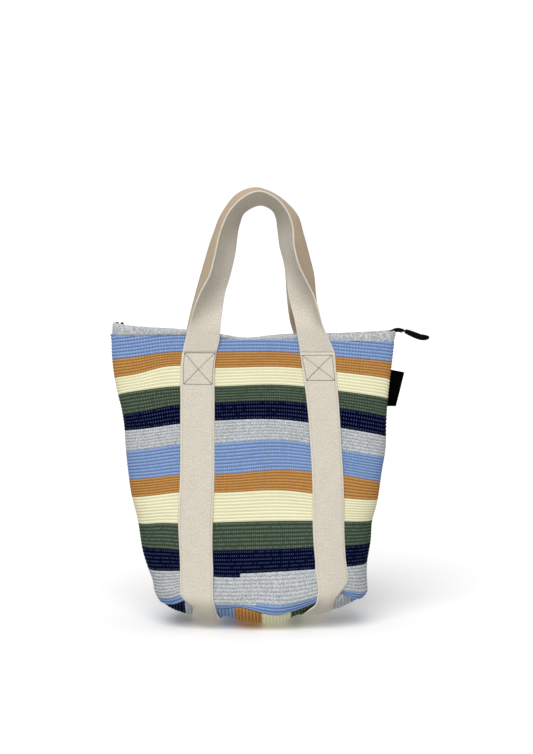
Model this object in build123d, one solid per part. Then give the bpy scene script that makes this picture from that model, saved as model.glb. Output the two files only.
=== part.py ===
from build123d import *
import math
import os

# Zip-top tote bag in striped ribbed cotton, with two webbing loops that run under the base.
# Millimetres. +Z up, +X towards the closed end of the zip, -Y is the front.
# The origin is the middle of the base's underside, on the surface the bag stands on.

# ---- driving dimensions -------------------------------------------------------------------
HEM_Z = 20.6            # seam between the base panel and the walls
FOLD_Z = 383.0          # top of the walls, where the handles leave the bag
BAND_TOP_Z = 399.5      # top of the last stripe
ZIP_Z = 406.0           # middle of the zip tape
BOTTOM_HALF_WIDTH = 147.0
WIDTH_FLARE = 0.13      # growth of the half width per millimetre of height
BOTTOM_HALF_DEPTH = 88.0
DEPTH_TAPER = 0.165     # loss of the half depth per millimetre of height
BOTTOM_SQUARENESS = 3.2  # superellipse exponent of the bag's plan at the base
MOUTH_SQUARENESS = 8.0   # and at the mouth
CLOTH = 2.5             # thickness of the ribbed cloth
WALL_HALF_SPAN = 136.0  # the moving walls end here, and the side panels begin
JOINT_GAP = 0.3         # clearance each side of a line where two bodies meet
STRAP_FOOT_GAP = 1.2    # the wall straps end this far above the hem, so that they swing in over the base

# height and inset of the outline from the underside up to the hem
DISH_STEPS = ((0.0, 22.0), (4.0, 11.0), (11.0, 4.0), (HEM_Z - JOINT_GAP, 0.0))

WEBBING_WIDTH = 50.0
WEBBING = 2.2           # thickness of the cotton webbing
STRAP_LIFT = 0.1        # clearance between a strap and the cloth under it
GROOVE = WEBBING + STRAP_LIFT   # depth of the base's channel for a strap
LEFT_STRAP_X = -79.0    # the left strap is upright
RIGHT_STRAP_TOP_X = 92.0
RIGHT_STRAP_HEM_X = 104.0
THREAD = 0.6            # how far a row of stitches stands proud
THREAD_CLEARANCE = 0.25  # between a row of stitches and the cloth's strap line
CROSS_ROW_WIDTH = 0.9
EDGE_ROW_WIDTH = 0.9
CROSS_BOX_BOTTOM_Z = 341.0
CROSS_BOX_TOP_Z = 378.0
CROSS_BOX_MARGIN = 3.5  # from a strap's edge to the box of stitches
CROSS_CORNER_GAP = 1.6  # the diagonals stop this far inside the box
EDGE_ROW_MARGIN = 3.0   # from a strap's edge to the long row beside it

HANDLE_X = 7.0          # middle of the handle loops
HANDLE_FOOT_SPREAD = 85.0
HANDLE_CROWN_Z = 601.0  # centre of the webbing at the top of the loop
HANDLE_TWIST = 64.0     # degrees that the webbing has turned at the crown
HANDLE_STATIONS = 9     # sections along each half of a loop

FACING_HALF_LENGTH = 170.0
TOP_FACING_HALF_SPAN = 184.0  # the standing strips end here, short of the side seams
FACING_INNER_Y = 8.5    # free edge of each zip facing
FACING = 2.0
ZIP_END_HALF_WIDTH = 13.0
TAPE = 1.0
TAPE_INNER_Y = 1.6
COIL_RADIUS = 0.75
ZIP_CLEARANCE = 0.05    # between the tape, its coil and their neighbours
ZIP_START_X = -FACING_HALF_LENGTH
SLIDER_X = 190.0        # middle of the slider at the closed end
SLIDER_LENGTH = 12.0
SLIDER_WING = 1.2       # thickness of each of its two plates
SLIDER_GAP = 2.8        # between the plates, for the coil
ZIP_END_X = SLIDER_X - SLIDER_LENGTH / 2 - 0.5
TAB_PIVOT = (SLIDER_X, ZIP_Z + 4.4)           # x and z of the bridge that the tab hangs on
RING_PIVOT = (SLIDER_X + 18.0, ZIP_Z + 9.0)   # x and z of the tab's outer bar
TAB_WIDTH = 6.8
TAB_THICKNESS = 1.0
TAB_WINDOW_WIDTH = 3.8
TAB_BAR = 0.5           # half the length of the bar at each end of the tab, which the joints turn about
RING_REACH = 0.9        # from the outer bar to the middle of the ring
RING_RADIUS = 2.2
RING_WIRE = 0.55
PULLER_DROOP = 17.0     # degrees below level
PULLER_LENGTH = 35.0
PULLER_WIDTH = 5.0
PULLER_HEIGHT = 7.6
LABEL_TOP_Z = 360.0
LABEL_BOTTOM_Z = 307.0
LABEL_WIDTH = 16.0
LABEL_GAP = 0.9         # between the label's sewn edge and the cloth, so that it can flap

os.makedirs("parts", exist_ok=True)


def save(name, shape):
    """Writes one sub-part as parts/NAME.step."""
    shape.label = name
    export_step(shape, f"parts/{name}.step")


def save_front_and_rear(name, shape):
    """Writes the front piece and its mirror image at the rear."""
    save(f"front_{name}", shape)
    save(f"rear_{name}", mirror(shape, about=Plane.XZ))


# ---- the bag's plan at any height -----------------------------------------------------------
def half_width(z):
    return BOTTOM_HALF_WIDTH + WIDTH_FLARE * z


def half_depth(z):
    return BOTTOM_HALF_DEPTH - DEPTH_TAPER * z


def squareness(z):
    return BOTTOM_SQUARENESS + (MOUTH_SQUARENESS - BOTTOM_SQUARENESS) * (z / BAND_TOP_Z) ** 2


def wall_depth(x, z, inset=0.0):
    """Distance of the wall from the bag's middle plane at x, measured to a surface inset into the cloth."""
    power = squareness(z)
    share = abs(x) / (half_width(z) - inset)
    return (half_depth(z) - inset) * (1 - share**power) ** (1 / power)


def plan_point(angle, z, inset=0.0):
    """Point on the bag's outline at height z, in the direction of angle."""
    power = squareness(z)
    radius = (abs(math.cos(angle)) ** power + abs(math.sin(angle)) ** power) ** (-1 / power)
    x = (half_width(z) - inset) * radius * math.cos(angle)
    y = (half_depth(z) - inset) * radius * math.sin(angle)
    return (x, y, z)


def plan_face(z, inset=0.0, height=None, count=18):
    """The whole outline as a face. height moves it up or down without changing its size."""
    points = [plan_point(2 * math.pi * (i + 0.5) / count, z, inset) for i in range(count)]
    level = z if height is None else height
    return make_face(Spline(*[(x, y, level) for x, y, _ in points], periodic=True))


def ribbon_face(outer, inner):
    """A thin closed section between two rows of points."""
    outer_edge = Spline(*outer)
    inner_edge = Spline(*reversed(inner))
    start = Line(inner_edge @ 1, outer_edge @ 0)
    end = Line(outer_edge @ 1, inner_edge @ 0)
    return make_face([outer_edge, end, inner_edge, start])


def levels(bottom, top, count):
    return [bottom + (top - bottom) * i / (count - 1) for i in range(count)]


def front_sheet(middle, half_span, bottom, top, outer_offset, thickness, rows=6, columns=9):
    """A sheet that lies along the front wall. middle is the x of its centreline at a height,
    and outer_offset is how far its outer face stands off the cloth's outer face."""
    sections = []
    for z in levels(bottom, top, rows):
        across = levels(middle(z) - half_span, middle(z) + half_span, columns)
        outer = [(x, -wall_depth(x, z) - outer_offset, z) for x in across]
        inner = [(x, -wall_depth(x, z) - outer_offset + thickness, z) for x in across]
        sections.append(ribbon_face(outer, inner))
    return loft(sections)


# ---- walls, sides, bands and base -----------------------------------------------------------
def front_panel():
    half_span = WALL_HALF_SPAN - JOINT_GAP
    return front_sheet(lambda z: 0.0, half_span, HEM_Z + JOINT_GAP, FOLD_Z - JOINT_GAP, 0.0, CLOTH)


def right_side_panel():
    """The ends of the front and rear panels, wrapped round the right side to the side seam."""
    edge = WALL_HALF_SPAN + JOINT_GAP
    sections = []
    for z in levels(HEM_Z, FOLD_Z - JOINT_GAP, 6):
        rows = []
        for inset in (0.0, CLOTH):
            across = edge / (half_width(z) - inset)
            deep = wall_depth(edge, z, inset) / (half_depth(z) - inset)
            corner = math.atan2(deep, across)
            rows.append([plan_point(a, z, inset) for a in levels(-corner, corner, 13)])
        sections.append(ribbon_face(*rows))
    return loft(sections)


def top_band():
    """The last stripe, right round the bag above the handles' feet."""
    bottom, top = FOLD_Z + JOINT_GAP, BAND_TOP_Z
    spare = 1.0
    count = 36
    outside = loft([plan_face(bottom, count=count), plan_face(top, count=count)])
    below = plan_face(bottom, CLOTH, bottom - spare, count)
    above = plan_face(top, CLOTH, top + spare, count)
    return outside - loft([below, above])


def front_top_facing():
    """The heather strip that stands above the last stripe, sewn to the inside of the rim."""
    across = levels(-TOP_FACING_HALF_SPAN, TOP_FACING_HALF_SPAN, 15)
    sections = []
    for z in (BAND_TOP_Z + JOINT_GAP, ZIP_Z + TAPE):
        outer = [(x, -wall_depth(x, BAND_TOP_Z), z) for x in across]
        inner = [(x, -wall_depth(x, BAND_TOP_Z) + FACING, z) for x in across]
        sections.append(ribbon_face(outer, inner))
    return loft(sections)


def dish(grow=0.0, raise_by=0.0):
    """The base's shape, from its flat underside to the hem. grow is outwards."""
    faces = [plan_face(z, inset - grow, z + raise_by) for z, inset in DISH_STEPS]
    return loft(faces)


def strap_slot(middle, half_span, top):
    """A block as wide as a strap, right through the bag from front to rear."""
    depth = 2 * BOTTOM_HALF_DEPTH + 40.0
    return Pos(middle, 0, 0) * Box(2 * half_span, depth, 2 * top)


def base_outside():
    """The base with a shallow channel for each strap, so that the straps lie flush with its underside."""
    body = dish()
    for middle in (LEFT_STRAP_X, RIGHT_STRAP_HEM_X):
        body -= strap_slot(middle, WEBBING_WIDTH / 2 + JOINT_GAP, GROOVE)
    return body


def base_panel(outside):
    hollow = dish(grow=-CLOTH, raise_by=CLOTH)
    for middle in (LEFT_STRAP_X, RIGHT_STRAP_HEM_X):
        hollow -= strap_slot(middle, WEBBING_WIDTH / 2 + JOINT_GAP, GROOVE + CLOTH)
    return outside - hollow


def base_strap(middle, outside):
    """The stretch of a strap that runs up to the hem, under the base and up again at the rear."""
    band = dish(grow=WEBBING) & strap_slot(middle, WEBBING_WIDTH / 2, HEM_Z)
    core = outside & strap_slot(middle, WEBBING_WIDTH / 2 + 2.0, HEM_Z + 1.0)
    return (band - core).solids().sort_by(SortBy.VOLUME)[-1]


# ---- straps and their stitching -------------------------------------------------------------
def right_strap_x(z):
    share = (z - HEM_Z) / (FOLD_Z - HEM_Z)
    return RIGHT_STRAP_HEM_X + (RIGHT_STRAP_TOP_X - RIGHT_STRAP_HEM_X) * share


STRAPS = {"left": lambda z: LEFT_STRAP_X, "right": right_strap_x}


def front_strap(middle):
    half_span = WEBBING_WIDTH / 2
    bottom = HEM_Z + STRAP_FOOT_GAP
    return front_sheet(middle, half_span, bottom, FOLD_Z - JOINT_GAP, WEBBING + STRAP_LIFT, WEBBING)


def stitch_row(start, end, middle):
    """A straight row of thread on a strap, from one (across, height) to another."""
    spans = 5
    run = math.dist(start, end)
    half = CROSS_ROW_WIDTH / 2
    side = ((end[1] - start[1]) / run * half, -(end[0] - start[0]) / run * half)
    faces = []
    for i in range(spans + 1):
        across = start[0] + (end[0] - start[0]) * i / spans
        z = start[1] + (end[1] - start[1]) * i / spans
        x = middle(z) + across
        near = -wall_depth(x, z) - WEBBING - THREAD_CLEARANCE
        corners = []
        for sign, out in ((-1, 0.0), (1, 0.0), (1, THREAD), (-1, THREAD)):
            corners.append((x + sign * side[0], near - out, z + sign * side[1]))
        faces.append(make_face(Polyline(*corners, close=True)))
    return loft(faces, ruled=True)


def cross_stitches():
    """A box with a cross in it on each strap, just under the handle's foot."""
    reach = WEBBING_WIDTH / 2 - CROSS_BOX_MARGIN
    low, high = CROSS_BOX_BOTTOM_Z, CROSS_BOX_TOP_Z
    inner, foot, head = reach - CROSS_CORNER_GAP, low + CROSS_CORNER_GAP, high - CROSS_CORNER_GAP
    centre = (low + high) / 2
    break_off = 1.0  # one diagonal is broken where the other crosses it
    rows = []
    for middle in STRAPS.values():
        rows.append(stitch_row((-reach, low), (reach, low), middle))
        rows.append(stitch_row((-reach, high), (reach, high), middle))
        rows.append(stitch_row((-inner, foot), (-break_off, centre - break_off), middle))
        rows.append(stitch_row((break_off, centre + break_off), (inner, head), middle))
        rows.append(stitch_row((-inner, head), (inner, foot), middle))
    return Compound(children=rows)


def edge_stitches():
    """The rows that hold a strap's long edges to the wall."""
    inset = WEBBING_WIDTH / 2 - EDGE_ROW_MARGIN
    offset = WEBBING + THREAD_CLEARANCE + THREAD
    bottom = HEM_Z + 4.0
    rows = []
    for middle in STRAPS.values():
        for side in (-1, 1):
            line = lambda z, middle=middle, side=side: middle(z) + side * inset
            rows.append(front_sheet(line, EDGE_ROW_WIDTH / 2, bottom, CROSS_BOX_TOP_Z, offset, THREAD, columns=3))
    return Compound(children=rows)


# ---- handles --------------------------------------------------------------------------------
def handle_half(side):
    """Centre, outward direction in the loop's plane and twist at each station of one half, foot first."""
    foot = (HANDLE_FOOT_SPREAD, FOLD_Z + 15.0)
    lean = (63.0, 478.0)
    shoulder = (49.0, HANDLE_CROWN_Z)
    crown = (0.0, HANDLE_CROWN_Z)
    stations = []
    for z in (FOLD_Z + JOINT_GAP, FOLD_Z + 9.0):
        stations.append(((side * HANDLE_FOOT_SPREAD, z), (side, 0.0), 0.0))
    for i in range(1, HANDLE_STATIONS + 1):
        t = i / HANDLE_STATIONS
        weights = ((1 - t) ** 3, 3 * t * (1 - t) ** 2, 3 * t * t * (1 - t), t**3)
        slopes = (-((1 - t) ** 2), (1 - t) * (1 - 3 * t), t * (2 - 3 * t), t * t)
        route = (foot, lean, shoulder, crown)
        centre = [sum(w * p[k] for w, p in zip(weights, route)) for k in (0, 1)]
        along = [sum(w * p[k] for w, p in zip(slopes, route)) for k in (0, 1)]
        length = math.hypot(*along)
        outward = (side * along[1] / length, -along[0] / length)
        stations.append(((side * centre[0], centre[1]), outward, HANDLE_TWIST * math.sin(math.pi / 2 * t)))
    return stations


def handle_section(centre, outward, twist):
    """Cross-section of the webbing. Its outer edge turns towards the front as it twists."""
    turn = math.radians(twist)
    half = WEBBING_WIDTH / 2
    middle_y = -half_depth(FOLD_Z) - STRAP_LIFT - WEBBING / 2
    wide = Vector(outward[0] * math.cos(turn), -math.sin(turn), outward[1] * math.cos(turn)) * half
    thick = Vector(-outward[0] * math.sin(turn), -math.cos(turn), -outward[1] * math.sin(turn)) * (WEBBING / 2)
    middle = Vector(HANDLE_X + centre[0], middle_y, centre[1])
    return (middle + wide + thick, middle + wide - thick, middle - wide - thick, middle - wide + thick)


def handle():
    """One loop of webbing above the bag, from the left strap over to the right one."""
    left = [handle_section(*station) for station in handle_half(-1)]
    right = [handle_section(*station) for station in handle_half(1)]
    route = left + right[-2::-1]
    return loft([make_face(Polyline(*corners, close=True)) for corners in route], ruled=True)


# ---- zip ------------------------------------------------------------------------------------
def box_between(low, high):
    size = [b - a for a, b in zip(low, high)]
    middle = [(a + b) / 2 for a, b in zip(low, high)]
    return Pos(*middle) * Box(*size)


def front_zip_facing():
    """The flat heather strip between the rim and the zip tape. It hangs down when the zip is open."""
    outer_y = wall_depth(FACING_HALF_LENGTH, BAND_TOP_Z) - FACING - JOINT_GAP
    low = (-FACING_HALF_LENGTH, -outer_y, ZIP_Z - FACING / 2)
    high = (FACING_HALF_LENGTH, -FACING_INNER_Y, ZIP_Z + FACING / 2)
    return box_between(low, high)


def front_zip_tape():
    low = (ZIP_START_X, -FACING_INNER_Y + ZIP_CLEARANCE, ZIP_Z - TAPE / 2)
    high = (ZIP_END_X, -TAPE_INNER_Y, ZIP_Z + TAPE / 2)
    return box_between(low, high)


def front_zip_coil():
    """The row of coil teeth, as the bar that they fill."""
    bar = Cylinder(COIL_RADIUS, ZIP_END_X - ZIP_START_X, rotation=(0, 90, 0))
    return Pos((ZIP_START_X + ZIP_END_X) / 2, -COIL_RADIUS - ZIP_CLEARANCE, ZIP_Z) * bar


def zip_slider():
    """Two wings joined by a post at the nose, with a bridge on top for the pull tab."""
    half = SLIDER_LENGTH / 2
    heel, shoulder, nose = 4.2, 6.0, 4.0    # half widths along the wing
    profile = Polyline(
        (-half, -heel),
        (half - 3.0, -shoulder),
        (half, -nose),
        (half, nose),
        (half - 3.0, shoulder),
        (-half, heel),
        close=True,
    )
    wing = extrude(make_face(profile), SLIDER_WING)
    top_z = ZIP_Z + SLIDER_GAP / 2
    body = Pos(SLIDER_X, 0, top_z) * wing
    body += Pos(SLIDER_X, 0, ZIP_Z - SLIDER_GAP / 2 - SLIDER_WING) * wing
    body += box_between((SLIDER_X + 1.0, -1.2, ZIP_Z - 2.0), (SLIDER_X + 5.0, 1.2, ZIP_Z + 2.0))
    bridge_top = top_z + SLIDER_WING + 4.7
    bridge = box_between((SLIDER_X - 3.3, -1.3, ZIP_Z + 2.0), (SLIDER_X + 3.3, 1.3, bridge_top))
    bridge -= box_between((SLIDER_X - 2.0, -2.0, top_z + SLIDER_WING), (SLIDER_X + 2.0, 2.0, bridge_top - 1.3))
    return body + bridge


def pull_tab():
    """A flat tab with a window at each end. It links the slider's bridge and the puller's ring."""
    run = math.dist(TAB_PIVOT, RING_PIVOT)
    tilt = math.degrees(math.atan2(RING_PIVOT[1] - TAB_PIVOT[1], RING_PIVOT[0] - TAB_PIVOT[0]))
    plate = Pos(run / 2, 0, 0) * Box(run + 2 * TAB_BAR, TAB_WIDTH, TAB_THICKNESS)
    bridge_window = (TAB_BAR, 5.2)
    ring_window = (run - 3.2, run - TAB_BAR)
    for start, end in (bridge_window, ring_window):
        plate -= Pos((start + end) / 2, 0, 0) * Box(end - start, TAB_WINDOW_WIDTH, 2 * TAB_THICKNESS)
    return Pos(TAB_PIVOT[0], 0, TAB_PIVOT[1]) * (Rot(0, -tilt, 0) * plate)


def at_ring(shape):
    """Places a shape drawn along +X from the ring, drooping by the puller's angle."""
    return Pos(RING_PIVOT[0], 0, RING_PIVOT[1]) * (Rot(0, PULLER_DROOP, 0) * shape)


def ring_torus(wire):
    return Pos(RING_REACH, 0, 0) * (Rot(90, 0, 0) * Torus(RING_RADIUS, wire))


def puller_ring():
    """The wire loop that joins the sleeve to the tab, round the tab's outer bar."""
    return at_ring(ring_torus(RING_WIRE))


def puller_sleeve():
    """A rounded sleeve, drilled for the ring."""
    start = 2.4
    body = Pos((start + PULLER_LENGTH) / 2, 0, 0) * Box(PULLER_LENGTH - start, PULLER_WIDTH, PULLER_HEIGHT)
    body = fillet(body.edges().filter_by(Axis.Y), 3.2)
    body = fillet(body.edges().filter_by(Axis.X), 1.2)
    body -= ring_torus(RING_WIRE + ZIP_CLEARANCE)
    return at_ring(body)


def zip_end_cloth(sign):
    """The scrap of heather cloth that closes the mouth beyond the zip's end."""
    inner = sign * (FACING_HALF_LENGTH + 3.0)
    outer = sign * (half_width(BAND_TOP_Z) - CLOTH - 3.0)
    top = BAND_TOP_Z - 0.4
    low = (min(inner, outer), -ZIP_END_HALF_WIDTH, top - FACING)
    high = (max(inner, outer), ZIP_END_HALF_WIDTH, top)
    return box_between(low, high)


def zip_tape_ends():
    """The cut ends of the two tapes, which stand up at the left end."""
    half_width_of_end, half_thickness, offset = 2.2, 1.2, 4.2
    ends = []
    for x, side in ((-193.0, -1), (-186.5, 1)):
        y = side * offset
        low = (x - half_width_of_end, y - half_thickness, BAND_TOP_Z + 0.2)
        high = (x + half_width_of_end, y + half_thickness, ZIP_Z + 16.0)
        ends.append(box_between(low, high))
    return Compound(children=ends)


def zip_stop(x):
    """A small clip that stops the slider."""
    clip = Pos(x, 0, ZIP_Z) * Box(2.4, 5.4, 2.8)
    return fillet(clip.edges().filter_by(Axis.X), 0.6)


# ---- label ----------------------------------------------------------------------------------
def side_label():
    """A plain folded tape, sewn into the right side seam by one edge."""
    top_x = half_width(LABEL_TOP_Z) + LABEL_GAP
    bottom_x = half_width(LABEL_BOTTOM_Z) + LABEL_GAP
    outline = Polyline(
        (top_x, 0, LABEL_TOP_Z),
        (top_x + LABEL_WIDTH * 0.98, 0, LABEL_TOP_Z - 4.0),
        (bottom_x + LABEL_WIDTH * 0.6, 0, LABEL_BOTTOM_Z - 1.0),
        (bottom_x, 0, LABEL_BOTTOM_Z),
        close=True,
    )
    return extrude(make_face(outline), 0.6, dir=(0, 1, 0), both=True)


# ---- build ----------------------------------------------------------------------------------
def build_shell():
    save_front_and_rear("panel", front_panel())
    right = right_side_panel()
    save("right_side_panel", right)
    save("left_side_panel", mirror(right, about=Plane.YZ))
    save("top_band", top_band())
    save_front_and_rear("top_facing", front_top_facing())
    outside = base_outside()
    save("base_panel", base_panel(outside))
    save("left_base_strap", base_strap(LEFT_STRAP_X, outside))
    save("right_base_strap", base_strap(RIGHT_STRAP_HEM_X, outside))


def build_straps():
    for side, middle in STRAPS.items():
        save_front_and_rear(f"{side}_strap", front_strap(middle))
    save_front_and_rear("cross_stitches", cross_stitches())
    save_front_and_rear("edge_stitches", edge_stitches())
    save_front_and_rear("handle", handle())


def build_zip():
    save_front_and_rear("zip_facing", front_zip_facing())
    save_front_and_rear("zip_tape", front_zip_tape())
    save_front_and_rear("zip_coil", front_zip_coil())
    save("zip_slider", zip_slider())
    save("pull_tab", pull_tab())
    save("puller_ring", puller_ring())
    save("puller_sleeve", puller_sleeve())
    save("left_zip_end", zip_end_cloth(-1))
    save("right_zip_end", zip_end_cloth(1))
    save("zip_tape_ends", zip_tape_ends())
    save("left_zip_stop", zip_stop(ZIP_START_X - 2.0))


build_shell()
build_straps()
build_zip()
save("side_label", side_label())
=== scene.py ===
import math

import bmesh
import bpy
import numpy as np
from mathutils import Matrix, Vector


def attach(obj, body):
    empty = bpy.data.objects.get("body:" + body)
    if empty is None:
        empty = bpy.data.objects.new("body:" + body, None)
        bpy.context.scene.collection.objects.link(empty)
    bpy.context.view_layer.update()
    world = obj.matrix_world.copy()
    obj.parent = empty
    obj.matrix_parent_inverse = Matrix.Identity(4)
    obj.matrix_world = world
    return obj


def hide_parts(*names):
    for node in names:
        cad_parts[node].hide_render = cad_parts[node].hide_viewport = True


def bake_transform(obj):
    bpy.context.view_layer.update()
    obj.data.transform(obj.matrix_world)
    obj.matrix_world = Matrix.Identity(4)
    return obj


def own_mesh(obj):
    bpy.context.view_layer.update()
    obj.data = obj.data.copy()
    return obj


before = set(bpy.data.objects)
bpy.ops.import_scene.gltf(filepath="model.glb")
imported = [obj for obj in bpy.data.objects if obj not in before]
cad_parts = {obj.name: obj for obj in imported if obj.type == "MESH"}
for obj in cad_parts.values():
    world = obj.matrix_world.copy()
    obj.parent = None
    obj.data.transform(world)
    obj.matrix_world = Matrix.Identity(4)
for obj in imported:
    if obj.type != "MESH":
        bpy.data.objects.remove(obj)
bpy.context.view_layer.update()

# A zip-top tote bag in striped ribbed cotton, with webbing loops that run under the base.
# Metres. +Z up, +X towards the closed end of the zip, -Y is the front.

# ---- driving dimensions --------------------
BOTTOM_HALF_WIDTH = 0.147
WIDTH_FLARE = 0.13       # growth of the half width with height
BOTTOM_HALF_DEPTH = 0.088
DEPTH_TAPER = 0.165      # loss of the half depth with height
BOTTOM_SQUARENESS = 3.2  # superellipse exponent of the plan at the base
MOUTH_SQUARENESS = 8.0
RIM_Z = 0.3995
FOLD_Z = 0.383           # the handles leave the walls here
HEM_Z = 0.041
BODY_HEIGHT = 0.36       # from the hem to the rim
HEM_SHIFT = 0.0035       # the hem's middle lies this far to the right
LEAN = 0.0075            # the rim's middle lies this far to the left of the hem's
CLOTH = 0.0022
BASE_SINK = 0.0012       # the base cloth lies this far inside the walls' hem
PASSES = 6               # repeats that settle a place which depends on its own height

RIB_PITCH = 0.0047
RIB_RELIEF = 0.0011      # height of a rib above the groove beside it
RIB_STEPS = 4            # rows of the mesh in each rib
LAST_RIBS = 3            # ribs of the stripe above the hem
BAND_RIBS = 9            # ribs of the band under the rim, before the rim cuts them off
COLUMNS = 150            # columns of the mesh from side seam to side seam
THREAD_PITCH = 0.003     # warp threads that show as light dashes

WEBBING_WIDTH = 0.050
WEBBING = 0.0022
STRAP_COLUMNS = 15
STITCH_PITCH = 0.0032
ZIP_HALF_LENGTH = 0.170
ZIP_SLIDER_END = 0.1835  # the closed end of the tapes
FACING_OUTER_Y = 0.0205
FACING_INNER_Y = 0.0085
TAPE_INNER_Y = 0.0016
COIL_PITCH = 0.0017
COIL_WIRE = 0.00042      # radius of the coil's wire

HALVES = (("front", -1), ("rear", 1))


def metres(*rows):
    """A table of lengths, given in millimetres."""
    return np.array(rows) / 1000


# where the stripes' heights are given, as shares of the half width
STRIPE_PLACES = (-1.0, -0.80, -0.63, -0.27, 0.23, 0.68, 1.0)
# colour, ribs, and the heights of the top edge at those places in millimetres
STRIPES = (
    ("orange", 6, (373, 377, 383, 384, 384, 376, 369)),
    ("cream", 6, (347, 353, 363, 362, 363, 354, 345)),
    ("green", 6, (323, 330, 335, 336, 338, 328, 318)),
    ("navy", 5, (295, 301, 308, 313, 315, 304, 292)),
    ("grey", 7, (273, 277, 282, 288, 289, 277, 265)),
    ("blue", 9, (244, 249, 254, 257, 261, 247, 236)),
    ("orange", 7, (205, 209, 213, 214, 220, 213, 202)),
    ("cream", 9, (180, 185, 189, 189, 192, 182, 176)),
    ("green", 7, (143, 147, 147, 149, 151, 150, 147)),
    ("navy", 6, (111, 112, 110, 111, 113, 116, 116)),
    ("grey", 8, (80, 82, 83, 80, 83, 87, 88)),
)
# places where a stripe changes colour one rib early: stripe, from, to, colour it takes
EARLY_CHANGES = ((10, -0.070, -0.019, "navy"), (11, -0.2, 0.002, "grey"))
# the last stripe's top edge and the hem, as (across, height)
LAST_STRIPE = metres(
    (-150, 44), (-137, 46.6), (-124, 50), (-106, 54.6), (-95, 49), (-70, 41), (-52, 39.7), (0, 40.4),
    (31, 38.3), (65, 43), (86, 49), (121, 56), (132, 54.5), (150, 49),
)
HEM = metres(
    (-150, 33), (-124, 35), (-106, 42), (-88, 47), (-65, 36), (-48, 31), (-27, 34.5), (-10, 31), (8, 25.5),
    (30, 23.5), (48, 27.5), (82, 40), (105, 50), (122, 53.5), (132, 46), (150, 39),
)
# height of the base's underside across the bag
UNDERSIDE = metres(
    (-150, 18), (-110, 15), (-85, 12.5), (-60, 11.3), (-45, 12.5), (-25, 7), (8, 3.5), (28, 3), (45, 10.5),
    (66, 17.5), (100, 20.5), (120, 24.5), (135, 30), (150, 36),
)
# the curve between wall and base: how far it reaches inwards, and how high it rises
CURVE_REACH = metres((-150, 45), (-80, 58), (0, 60), (80, 55), (120, 40), (150, 28))
CURVE_RISE = metres((-150, 45), (-80, 38), (0, 36), (80, 34), (105, 32), (122, 31), (135, 21), (150, 14))
# how far the soft sides swell beyond the plain flare, as (height, swelling)
LEFT_SWELL = metres(
    (20, -3), (48, -6), (61, -8), (80, -4), (98, -0.5), (150, 1.5), (182, 5.5), (216, 5.6), (249, 4.2),
    (283, 1.5), (300, 1.5), (332, 4.2), (367, 4.5), (383, 3.5), (400, 1.4),
)
RIGHT_SWELL = metres(
    (20, 3), (48, 1), (66, -2), (85, -3.4), (118, -0.8), (148, -1), (165, 2.2), (216, 5), (249, 6.8),
    (283, 4.2), (316, 2.8), (400, 2.8),
)
# stripes of the base, which run from front to rear: colour and left edge
BASE_STRIPES = (
    ("blue", -0.150), ("navy", -0.124), ("grey", -0.096), ("blue", -0.060), ("orange", -0.028),
    ("cream", 0.010), ("green", 0.049), ("grey", 0.095), ("blue", 0.133),
)
# rim of the striped cloth, as (share of the half width, height)
RIM = (
    (-1.0, 0.4102), (-0.71, 0.4105), (-0.51, 0.411), (-0.23, 0.407), (-0.05, 0.4012), (0.12, 0.4026),
    (0.29, 0.4036), (0.54, 0.4008), (0.72, 0.3997), (1.0, 0.399),
)

# middle of each strap across the bag, as (height, x)
STRAP_LINES = {
    "left": metres(
        (0, -65), (11.5, -66), (17.5, -67), (26, -68.2), (36.6, -69.5), (41, -73.5), (48, -78), (60, -79.2),
        (84, -79.5), (124, -81.2), (145, -81.8), (206, -80), (309, -80.5), (372, -80), (383, -78.7),
    ),
    "right": metres(
        (0, 82), (20, 84), (30, 89), (38, 94.7), (47, 97.5), (56, 103), (66, 106), (85, 104.5), (120, 102),
        (206, 100.9), (247, 98.9), (309, 95.2), (350, 91.1), (383, 87.8),
    ),
}
# width of each strap as it lies, gathered where it folds under the bag
STRAP_WIDTHS = {
    "left": metres(
        (0, 39), (11.5, 38.5), (17.5, 37), (26, 32), (36.6, 30), (41, 35.5), (48, 42.5), (60, 43.8),
        (104, 44), (165, 47), (206, 46.5), (383, 47),
    ),
    "right": metres(
        (0, 42), (20, 39), (30, 31), (38, 25), (47, 25), (56, 32), (64, 39), (100, 41), (300, 43),
        (350, 45.5), (383, 48),
    ),
}
# a strap's wall stretches meet the stretch under the base here, out of sight
STRAP_SPLIT_Z = {"left": 0.0135, "right": 0.0215}
# corners of the box of stitches on each strap: across from the strap's middle, and height
BOXES = {
    "left": metres((-21.8, 382.9), (24.3, 382.7), (22.2, 338.5), (-20.5, 338.5)),
    "right": metres((-23.5, 379.5), (21, 379.7), (22.5, 344), (-21.5, 344)),
}
EDGE_STITCH_X = 0.0222   # the rows along a strap's edges, from its middle
EDGE_STITCH_FOOT = 0.027

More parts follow.
